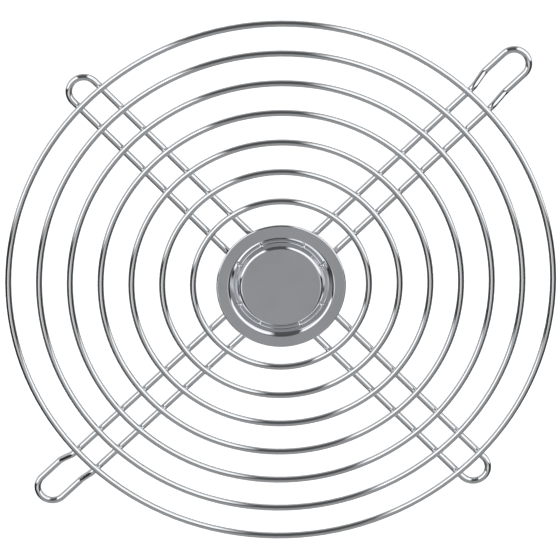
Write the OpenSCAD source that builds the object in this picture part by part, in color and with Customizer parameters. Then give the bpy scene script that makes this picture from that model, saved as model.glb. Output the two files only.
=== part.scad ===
// Wire guard for an oval 172 x 150 mm axial fan.
// Concentric rings are welded across four hairpins of round wire, and a pressed disc is
// welded over the hairpins' open ends. The two long hairpins step back to the screw loops.
// The origin is on the guard's axis, in the plane that the screw loops rest on. +Z points
// out of the guard's front, where the rings are, and +X runs along the long hairpins.

/* [Fan] */
// Distance between the fan's two screw holes, which the long hairpins reach
screw_spacing = 162; // [154:0.5:176]
// Distance from a screw hole's centre to the outermost ring, at the centre of its wire
screw_to_ring = 12.4; // [11.5:0.1:14]

/* [Rings] */
// Diameter of the innermost ring, at the centre of its wire
inner_ring_d = 44.3; // [40:0.1:56]
// Number of rings, evenly spaced
ring_count = 7; // [4:1:9]
// Diameter of the rings' wire
ring_wire_d = 1.6; // [1.2:0.1:2]

/* [Hairpins] */
// Diameter of the hairpins' wire
leg_wire_d = 1.7; // [1.4:0.1:2.4]
// Width of a screw loop, between the centres of its wire
screw_loop_w = 7.5; // [6.5:0.1:9]
// Spacing of a long hairpin's legs, between centres
long_leg_w = 6.95; // [6.5:0.05:8]
// Spacing of a short hairpin's legs, between centres
short_leg_w = 7.5; // [6.5:0.05:8]
// Distance from the outermost ring to the centre of a short hairpin's end loop
short_reach = 2; // [1.5:0.1:6]
// Distance from the axis to the cut ends of the hairpins, under the disc
leg_end_r = 8.5; // [8:0.1:10]

/* [Step to the screw loops] */
// How far the screw loops are set back behind the legs
step_h = 2.85; // [2:0.05:4]
// Length of the step along the leg, between its two corners
step_run = 4; // [3.5:0.1:5]
// Bend radius at the corners of the step, at the centre of the wire
step_bend_r = 2.4; // [2:0.1:3]

/* [Centre disc] */
// Diameter of the disc
disc_d = 32.6; // [30:0.1:35]
// Thickness of the disc's sheet
disc_sheet = 0.7; // [0.6:0.05:0.9]
// Diameter of the circle on which the bead is welded to the legs
weld_circle_d = 23.2; // [22:0.1:24]
// Width of the bead's flat floor, before its corners are rounded
bead_floor_w = 0.9; // [0.9:0.05:1.2]
// Depth of the bead below the face of the disc
bead_depth = 1.5; // [1.2:0.05:1.8]
// Radial run of the bead's wall towards the middle
inner_wall_run = 1; // [0.9:0.05:1.3]
// Radial run of the bead's wall towards the rim
outer_wall_run = 1.25; // [1:0.05:1.6]
// Bend radius of the sheet, at the middle of its thickness
disc_bend_r = 0.65; // [0.55:0.05:0.7]
// Diameter of the pit that each weld leaves in the bead's floor
weld_pit_d = 1; // [0.8:0.1:1.2]
// Depth of a weld's pit
weld_pit_depth = 0.25; // [0.1:0.05:0.25]

/* [Assembly] */
// How far the legs rise from the step to the axis, which crowns the guard forward
crown_h = 1.25; // [0:0.05:3]
// How far each welded joint is pressed together
weld_depth = 0.2; // [0.1:0.05:0.3]

/* [Hidden] */
// Clear length of straight leg between the outermost ring and the step's first bend
step_clear = 0.1;
// A bend's wire is this much fuller in radius than a straight, and laps over its end
bend_swell = 0.01;
bend_lap = 0.1;
// Sides of a wire's section, steps of a full turn and steps of a corner in the sheet
section_fn = 32;
turn_fn = 180;
corner_steps = 8;

ring_wire_r = ring_wire_d / 2;
leg_wire_r = leg_wire_d / 2;
screw_r = screw_spacing / 2;
outer_ring_r = screw_r - screw_to_ring;
ring_pitch = (outer_ring_r - inner_ring_d / 2) / (ring_count - 1);

// The screw loops lie on the mounting plane, and the legs stand step_h in front of them
loop_z = leg_wire_r + bend_swell;
step_angle = atan(step_h / step_run);
step_r = outer_ring_r + ring_wire_r + step_clear + step_bend_r * tan(step_angle / 2);

// Height of a leg's centre line at distance r from the axis
function leg_z(r) = loop_z + step_h + crown_h * (1 - r / step_r);

// Height of a ring's centre line, pressed into the legs that carry it
function ring_z(r) = leg_z(r) + leg_wire_r + ring_wire_r - weld_depth;

// Radius of ring k, counted outwards from 1
function ring_r(k) = inner_ring_d / 2 + (k - 1) * ring_pitch;

function unit(v) = v / norm(v);

// Angle through which a path turns at b on its way from a to c
function turn(a, b, c) = acos(unit(b - a) * unit(c - b));

// Distance from corner b to where a bend of radius r begins
function setback(a, b, c, r) = r * tan(turn(a, b, c) / 2);

// Straight round wire of diameter d from p to q
module rod(p, q, d) {
  v = q - p;
  translate(p) rotate([0, acos(v.z / norm(v)), atan2(v.y, v.x)])
    cylinder(h = norm(v), d = d, $fn = section_fn);
}

// Arc of round wire of diameter d and centre-line radius r, starting on +X
module arc(angle, r, d) {
  rotate_extrude(angle = angle, $fn = turn_fn) translate([r, 0]) circle(d = d, $fn = section_fn);
}

// Bend of radius r at corner b, on the way from a to c
module bend(a, b, c, r, d) {
  along = unit(b - a);
  onward = unit(c - b);
  inward = unit(onward - (onward * along) * along);
  out = -inward;
  up = cross(out, along);
  centre = b - setback(a, b, c, r) * along + r * inward;
  multmatrix([
    [out.x, along.x, up.x, centre.x],
    [out.y, along.y, up.y, centre.y],
    [out.z, along.z, up.z, centre.z],
    [0, 0, 0, 1]
  ]) arc(turn(a, b, c), r, d);
}

// Wire along points p, bent to radius r at each inner point and lapping past the last one
module bent_wire(p, r, d) {
  last = len(p) - 1;
  trim = [for (i = [0:last])
    i == 0 ? 0 : i == last ? -bend_lap : setback(p[i - 1], p[i], p[i + 1], r) - bend_lap];
  for (i = [0:last - 1]) {
    along = unit(p[i + 1] - p[i]);
    rod(p[i] + trim[i] * along, p[i + 1] - trim[i + 1] * along, d);
  }
  if (last > 1) for (i = [1:last - 1]) bend(p[i - 1], p[i], p[i + 1], r, d + 2 * bend_swell);
}

// Centre line of one long leg, from its cut end out to the start of the screw loop
function long_leg_path() = [
  [leg_end_r, long_leg_w / 2, leg_z(leg_end_r)],
  [step_r, long_leg_w / 2, leg_z(step_r)],
  [step_r + step_run, screw_loop_w / 2, loop_z],
  [screw_r, screw_loop_w / 2, loop_z]
];

// Centre line of one short leg, from its cut end out to the start of its end loop
function short_leg_path() = let (end_r = outer_ring_r + short_reach) [
  [leg_end_r, short_leg_w / 2, leg_z(leg_end_r)],
  [end_r, short_leg_w / 2, leg_z(end_r)]
];

// Hairpin along +X: a leg and its mirror image, joined by a half turn of wire
module hairpin(path) {
  end = path[len(path) - 1];
  for (side = [0, 1]) mirror([0, side, 0]) bent_wire(path, step_bend_r, leg_wire_d);
  translate([end.x, 0, end.z]) rotate([0, 0, -90]) arc(180, end.y, leg_wire_d + 2 * bend_swell);
}

module ring(k) {
  color("silver") translate([0, 0, ring_z(ring_r(k))]) arc(360, ring_r(k), ring_wire_d);
}

// Hairpin at its place round the axis, with the seats that the rings are welded into
module seated_hairpin(path, azimuth) {
  color("lightgray") difference() {
    rotate([0, 0, azimuth]) hairpin(path);
    for (k = [1:ring_count]) ring(k);
  }
}

module long_hairpin(k) seated_hairpin(long_leg_path(), 180 * (k - 1));

module short_hairpin(k) seated_hairpin(short_leg_path(), 90 + 180 * (k - 1));

function heading(v) = atan2(v.y, v.x);

function direction(angle) = [cos(angle), sin(angle)];

// Points of the path p, each with its heading, with the corners rounded to radius r
function rounded(p, r) = [
  [p[0], heading(p[1] - p[0])],
  for (i = [1:len(p) - 2])
    let (
      from = heading(p[i] - p[i - 1]),
      to = heading(p[i + 1] - p[i]),
      side = sign(to - from) * r,
      start = p[i] - setback(p[i - 1], p[i], p[i + 1], r) * direction(from),
      centre = start + side * direction(from + 90)
    )
    for (k = [0:corner_steps])
      let (now = from + (to - from) * k / corner_steps)
      [centre - side * direction(now + 90), now],
  [p[len(p) - 1], heading(p[len(p) - 1] - p[len(p) - 2])]
];

// The disc's sheet at half its thickness, from the axis out to the centre of the round rim
function disc_path() = let (
  floor_z = leg_z(weld_circle_d / 2) + leg_wire_r - weld_depth + disc_sheet / 2,
  floor_in = weld_circle_d / 2 - bead_floor_w / 2,
  floor_out = weld_circle_d / 2 + bead_floor_w / 2
) [
  [0, floor_z + bead_depth],
  [floor_in - inner_wall_run, floor_z + bead_depth],
  [floor_in, floor_z],
  [floor_out, floor_z],
  [floor_out + outer_wall_run, floor_z + bead_depth],
  [disc_d / 2 - disc_sheet / 2, floor_z + bead_depth]
];

module disc_blank() {
  half = disc_sheet / 2;
  sheet = rounded(disc_path(), disc_bend_r);
  rim = sheet[len(sheet) - 1][0];
  rotate_extrude($fn = turn_fn) polygon(concat(
    [for (s = sheet) s[0] + half * direction(s[1] + 90)],
    [for (k = [1:2 * corner_steps - 1]) rim + half * direction(90 - 90 * k / corner_steps)],
    [for (i = [len(sheet) - 1:-1:0]) sheet[i][0] - half * direction(sheet[i][1] + 90)]
  ));
}

// Pits in the floor of the bead, over its welds to a pair of legs along +X that are legs_w apart
module weld_pits(legs_w) {
  ball_r = (pow(weld_pit_d / 2, 2) + pow(weld_pit_depth, 2)) / (2 * weld_pit_depth);
  floor_top = leg_z(weld_circle_d / 2) + leg_wire_r - weld_depth + disc_sheet;
  for (side = [-1, 1])
    translate([
      sqrt(pow(weld_circle_d, 2) - pow(legs_w, 2)) / 2,
      side * legs_w / 2,
      floor_top - weld_pit_depth + ball_r
    ]) sphere(r = ball_r, $fn = section_fn);
}

// The disc, with a shallow seat and a pit in its bead where it is welded to each leg
module centre_disc() {
  color("lightsteelblue") difference() {
    disc_blank();
    for (turn_by = [0, 180]) {
      rotate([0, 0, turn_by]) hairpin(long_leg_path());
      rotate([0, 0, turn_by + 90]) hairpin(short_leg_path());
      rotate([0, 0, turn_by]) weld_pits(long_leg_w);
      rotate([0, 0, turn_by + 90]) weld_pits(short_leg_w);
    }
  }
}

for (k = [1:ring_count]) ring(k);
for (k = [1, 2]) long_hairpin(k);
for (k = [1, 2]) short_hairpin(k);
centre_disc();
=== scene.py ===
import bmesh
import bpy
from mathutils import Matrix, Vector

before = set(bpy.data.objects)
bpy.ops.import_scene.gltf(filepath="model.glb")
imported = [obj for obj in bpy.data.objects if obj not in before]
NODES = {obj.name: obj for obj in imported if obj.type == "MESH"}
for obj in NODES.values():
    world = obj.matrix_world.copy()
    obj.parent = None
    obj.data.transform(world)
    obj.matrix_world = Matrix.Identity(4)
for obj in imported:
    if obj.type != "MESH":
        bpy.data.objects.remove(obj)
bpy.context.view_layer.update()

MM = 0.001
scene = bpy.context.scene

# ---------------------------------------------------------------- camera

# The picture's own axes, seen from the guard: its right, its top, and the way back to the camera
RIGHT = Vector((0.71889, -0.69474, 0.02313))
UP = Vector((0.65841, 0.66988, -0.34316))
BACK = Vector((0.22291, 0.26192, 0.93899))
TARGET = Vector((0, 0, 5.04 * MM)) - 0.246 * MM * RIGHT + 0.799 * MM * UP
DISTANCE = 1.5816
LENS, SENSOR = 403.84, 36


def make_camera():
    data = bpy.data.cameras.new("photo_camera")
    data.lens = LENS
    data.sensor_width = SENSOR
    data.clip_start, data.clip_end = 0.05, 50
    cam = bpy.data.objects.new("photo_camera", data)
    turn = Matrix((RIGHT, UP, BACK)).transposed().to_4x4()
    cam.matrix_world = Matrix.Translation(TARGET + DISTANCE * BACK) @ turn
    scene.collection.objects.link(cam)
    scene.camera = cam


# ---------------------------------------------------------------- node helper

class Tree:
    """Short calls for building a node tree. A value may be a number, a tuple or another node's socket."""

    def __init__(self, tree):
        self.tree = tree
        tree.nodes.clear()

    def new(self, kind, out=0, props=None, **sockets):
        """Adds a node and returns one of its outputs. A socket is named, or numbered as i0, i1 and so on."""
        node = self.tree.nodes.new(kind)
        for key, value in (props or {}).items():
            setattr(node, key, value)
        for key, value in sockets.items():
            target = node.inputs[int(key[1:])] if key[1:].isdigit() else node.inputs[key.replace("_", " ")]
            if isinstance(value, bpy.types.NodeSocket):
                self.tree.links.new(value, target)
            else:
                target.default_value = value
        return node.outputs[out]

    def output(self, kind, shader):
        self.tree.links.new(shader, self.tree.nodes.new(kind).inputs["Surface"])

    def math(self, operation, a, b=0.0, c=0.0):
        return self.new("ShaderNodeMath", props={"operation": operation}, i0=a, i1=b, i2=c)

    def plus(self, a, b):
        return self.math("ADD", a, b)

    def minus(self, a, b):
        return self.math("SUBTRACT", a, b)

    def times(self, a, b):
        return self.math("MULTIPLY", a, b)

    def size(self, a):
        """The value without its sign."""
        return self.math("ABSOLUTE", a)

    def dot(self, a, b):
        return self.new("ShaderNodeVectorMath", "Value", props={"operation": "DOT_PRODUCT"}, i0=a, i1=b)

    def smooth(self, value, start, end, low=0.0, high=1.0):
        """low before start, high after end, with a smooth step between."""
        return self.new("ShaderNodeMapRange", props={"interpolation_type": "SMOOTHSTEP"},
                        i0=value, i1=start, i2=end, i3=low, i4=high)

    def mix(self, factor, a, b):
        """Mix of two numbers."""
        return self.new("ShaderNodeMix", 0, props={"data_type": "FLOAT"}, i0=factor, i2=a, i3=b)

    def tint(self, factor, a, b):
        """Mix of two colours."""
        return self.new("ShaderNodeMix", 2, props={"data_type": "RGBA"}, i0=factor, i6=a, i7=b)

    def noise(self, vector, scale, detail=2.0, rough=0.5, w=None):
        props = {"noise_dimensions": "3D" if w is None else "4D"}
        extra = {} if w is None else {"W": w}
        return self.new("ShaderNodeTexNoise", 0, props=props, Vector=vector, Scale=scale, Detail=detail,
                        Roughness=rough, **extra)

    def xyz(self, vector):
        node = self.tree.nodes.new("ShaderNodeSeparateXYZ")
        self.tree.links.new(vector, node.inputs[0])
        return node.outputs

    def vector(self, x, y, z):
        return self.new("ShaderNodeCombineXYZ", i0=x, i1=y, i2=z)

    def bump(self, height, distance, normal=None):
        extra = {} if normal is None else {"Normal": normal}
        return self.new("ShaderNodeBump", Height=height, Distance=distance, **extra)


# ---------------------------------------------------------------- studio

# Brightness of the parts of the light tent, as the chrome reflects them
RIGHT_CLOTH, LEFT_CLOTH, OPEN_ROOF = 1.2, 1.7, 0.3
SLIT, SLIT_FOOT, SLIT_TOP = 0.09, 0.40, 0.08
FAR_MIDDLE, FAR_SIDES = 0.33, 0.03
LEFT_SEAM, RIGHT_SEAM = 0.6, 0.4
TABLE, TABLE_SHADE = 0.5, 0.03
ROOM_COLOUR = (0.975, 0.985, 1.0, 1.0)
WHITE = (1.0, 1.0, 1.0, 1.0)

# Where the seam of light crosses the far side, and the middles of its two parts
SEAM_FORE = -0.33
LEFT_SEAM_SIDE, RIGHT_SEAM_SIDE = -0.39, 0.26

TABLE_R = 8.0


def near_side(t, fore, side, height, roof):
    """White cloth to the camera's left and right, and the dark slit between them that it looks through."""
    right_cloth = t.times(t.smooth(roof, 0.79, 1.0, RIGHT_CLOTH, OPEN_ROOF),
                          t.smooth(height, -0.1, 0.45, 0.73, 1.0))
    left_cloth = t.times(t.smooth(roof, 0.6, 1.0, LEFT_CLOTH, OPEN_ROOF),
                         t.smooth(height, 0.15, 0.7, 0.33, 1.0))
    slit = t.plus(t.smooth(height, -0.7, 0.35, SLIT_FOOT, SLIT), t.smooth(roof, 0.92, 1.0, 0.0, SLIT_TOP))
    right_edge = t.math("MULTIPLY_ADD", height, -0.15, 0.36)
    left_edge = t.math("MULTIPLY_ADD", fore, -0.42, -0.065)
    right_of_slit = t.smooth(t.minus(side, right_edge), -0.09, 0.07)
    left_of_slit = t.smooth(t.minus(left_edge, side), -0.05, 0.08)
    return t.mix(left_of_slit, t.mix(right_of_slit, slit, right_cloth), left_cloth)


def far_side(t, fore, side, height):
    """A dim cloth behind the guard, with a seam of light across its top on either side of the middle."""
    cloth = t.times(t.smooth(t.size(side), 0.35, 0.68, FAR_MIDDLE, FAR_SIDES),
                    t.smooth(height, -0.45, -0.05, 1.4, 1.0))
    seam = t.times(t.smooth(t.size(t.minus(fore, SEAM_FORE)), 0.04, 0.13, 1.0, 0.0),
                   t.smooth(height, 0.4, 0.6))
    left = t.smooth(t.size(t.minus(side, LEFT_SEAM_SIDE)), 0.18, 0.32, LEFT_SEAM, 0.0)
    right = t.smooth(t.size(t.minus(side, RIGHT_SEAM_SIDE)), 0.08, 0.2, RIGHT_SEAM, 0.0)
    return t.plus(cloth, t.times(seam, t.plus(left, right)))


def underside(t, fore, side):
    """The white table, as seen between the shadows of the tent's lower right and of its far left."""
    right_shade = t.times(t.smooth(side, 0.05, 0.3),
                          t.times(t.smooth(fore, 0.65, 0.45), t.smooth(fore, -0.25, -0.1)))
    left_shade = t.times(t.smooth(side, -0.1, -0.3), t.smooth(fore, 0.0, -0.2))
    return t.mix(t.math("MAXIMUM", right_shade, left_shade), TABLE, TABLE_SHADE)


def studio_world():
    """The light tent, which only the guard sees. The camera sees plain white.

    Each part is set by direction: fore is level and towards the camera, side is level and to its right,
    and roof is towards the opening above and a little behind the guard, where the cloth ends.
    """
    world = bpy.data.worlds.new("studio")
    world.use_nodes = True
    scene.world = world
    t = Tree(world.node_tree)
    ray = t.new("ShaderNodeTexCoord", "Generated")
    fore_way = Vector((BACK.x, BACK.y, 0)).normalized()
    side_way = Vector((fore_way.y, -fore_way.x, 0))
    fore = t.dot(ray, tuple(fore_way))
    side = t.dot(ray, tuple(side_way))
    height = t.dot(ray, (0.0, 0.0, 1.0))
    roof = t.dot(ray, tuple(-0.2 * fore_way + Vector((0, 0, 0.98))))

    # The near cloth ends a little behind the guard, and nearer on its far left
    leftness = t.math("MINIMUM", side, 0.0)
    near_end = t.math("MULTIPLY_ADD", t.times(leftness, leftness), 0.13, -0.165)
    is_near = t.smooth(t.minus(fore, near_end), -0.06, 0.06)
    level = t.mix(is_near, far_side(t, fore, side, height), near_side(t, fore, side, height, roof))
    sky = t.mix(t.smooth(height, -0.6, -0.35), underside(t, fore, side), level)

    camera_ray = t.new("ShaderNodeLightPath", "Is Camera Ray")
    room = t.new("ShaderNodeBackground", Strength=sky, Color=ROOM_COLOUR)
    plain = t.new("ShaderNodeBackground", Strength=1.0, Color=WHITE)
    t.output("ShaderNodeOutputWorld", t.new("ShaderNodeMixShader", i0=camera_ray, i1=room, i2=plain))


def table_cloth():
    """White cloth, lit until it burns out as the photographer's is. It is open from below."""
    mat = bpy.data.materials.new("table_white")
    mat.use_nodes = True
    t = Tree(mat.node_tree)
    grain = t.noise(t.new("ShaderNodeTexCoord", "Object"), 900.0, 3.0)
    tone = t.tint(grain, (0.84, 0.84, 0.84, 1.0), (0.88, 0.88, 0.88, 1.0))
    cloth = t.new("ShaderNodeBsdfPrincipled", Base_Color=tone, Roughness=0.7,
                  Emission_Color=WHITE, Emission_Strength=0.8)
    through = t.new("ShaderNodeBsdfTransparent")
    back = t.new("ShaderNodeNewGeometry", "Backfacing")
    t.output("ShaderNodeOutputMaterial", t.new("ShaderNodeMixShader", i0=back, i1=cloth, i2=through))
    return mat


def make_floor():
    """A plain round table top. The tent's underside stands in for it in the chrome."""
    mesh = bpy.data.meshes.new("table_top")
    bm = bmesh.new()
    bmesh.ops.create_circle(bm, cap_ends=True, segments=96, radius=TABLE_R)
    bm.to_mesh(mesh)
    bm.free()
    floor = bpy.data.objects.new("table_top", mesh)
    scene.collection.objects.link(floor)
    floor.data.materials.append(table_cloth())
    floor.visible_glossy = False


# ---------------------------------------------------------------- materials

WIRE_TONE = (0.86, 0.875, 0.89)
SHEET_TONE = (0.83, 0.85, 0.88)

# Marks in the plating: slow waves, the drawing lines and fine pits, each with its height
WAVE_H, LINE_H, PIT_H = 0.03 * MM, 0.0006 * MM, 0.0004 * MM

# Drawing lines to a metre, across the wire and along it
ACROSS, ALONG = 9000.0, 60.0


def chrome(name, lines_from, tone):
    """Bright plating over drawn wire or rolled sheet.

    lines_from gives the noise vector, and its fourth part, whose long axis lies along the drawing lines.
    """
    mat = bpy.data.materials.new(name)
    mat.use_nodes = True
    t = Tree(mat.node_tree)
    place = t.new("ShaderNodeTexCoord", "Object")
    drawn, w = lines_from(t, place)
    lines = t.noise(drawn, 1.0, 3.0, 0.6, w)
    patch = t.noise(place, 90.0, 2.0, 0.5)
    pits = t.noise(place, 1400.0, 3.0, 0.6)
    waves = t.noise(place, 160.0, 1.0, 0.4)
    r, g, b = tone
    dulled = (0.95 * r, 0.945 * g, 0.935 * b, 1.0)
    colour = t.tint(t.smooth(patch, 0.35, 0.7), (r, g, b, 1.0), dulled)
    rough = t.mix(t.times(lines, patch), 0.03, 0.10)
    wavy = t.bump(waves, WAVE_H)
    scored = t.bump(lines, LINE_H, wavy)
    pitted = t.bump(pits, PIT_H, scored)
    shader = t.new("ShaderNodeBsdfPrincipled", Base_Color=colour, Metallic=1.0, Roughness=rough,
                   Normal=pitted)
    t.output("ShaderNodeOutputMaterial", shader)
    return mat


def around(t, place):
    """Drawing lines that run round the axis, as on a ring."""
    x, y, z = t.xyz(place)
    flat = t.vector(x, y, 0.0)
    radius = t.new("ShaderNodeVectorMath", "Value", props={"operation": "LENGTH"}, i0=flat)
    return t.vector(t.times(radius, ACROSS), t.times(z, ACROSS), t.times(x, ALONG)), t.times(y, ALONG)


def scaled(t, place, x_scale, y_scale, z_scale):
    """The place with each of its axes scaled, as a noise vector with no fourth part."""
    x, y, z = t.xyz(place)
    return t.vector(t.times(x, x_scale), t.times(y, y_scale), t.times(z, z_scale)), 0.0


def straight_x(t, place):
    """Drawing lines along X, as on a long hairpin."""
    return scaled(t, place, ALONG, ACROSS, ACROSS)


def straight_y(t, place):
    """Drawing lines along Y, as on a short hairpin."""
    return scaled(t, place, ACROSS, ALONG, ACROSS)


def rolled(t, place):
    """Rolling lines across the sheet, wider than a wire's."""
    return scaled(t, place, 260.0, 5200.0, 800.0)


def dress():
    """Gives each CAD node its plating, by the start of its name."""
    looks = {
        "ring_": chrome("chrome_ring_wire", around, WIRE_TONE),
        "long_": chrome("chrome_long_wire", straight_x, WIRE_TONE),
        "short_": chrome("chrome_short_wire", straight_y, WIRE_TONE),
        "centre_": chrome("chrome_sheet", rolled, SHEET_TONE),
    }
    for name, node in NODES.items():
        node.material_slots[0].material = next(m for start, m in looks.items() if name.startswith(start))


# ---------------------------------------------------------------- run

scene.view_settings.view_transform = "Standard"
scene.cycles.filter_width = 1.5
make_camera()
studio_world()
make_floor()
dress()
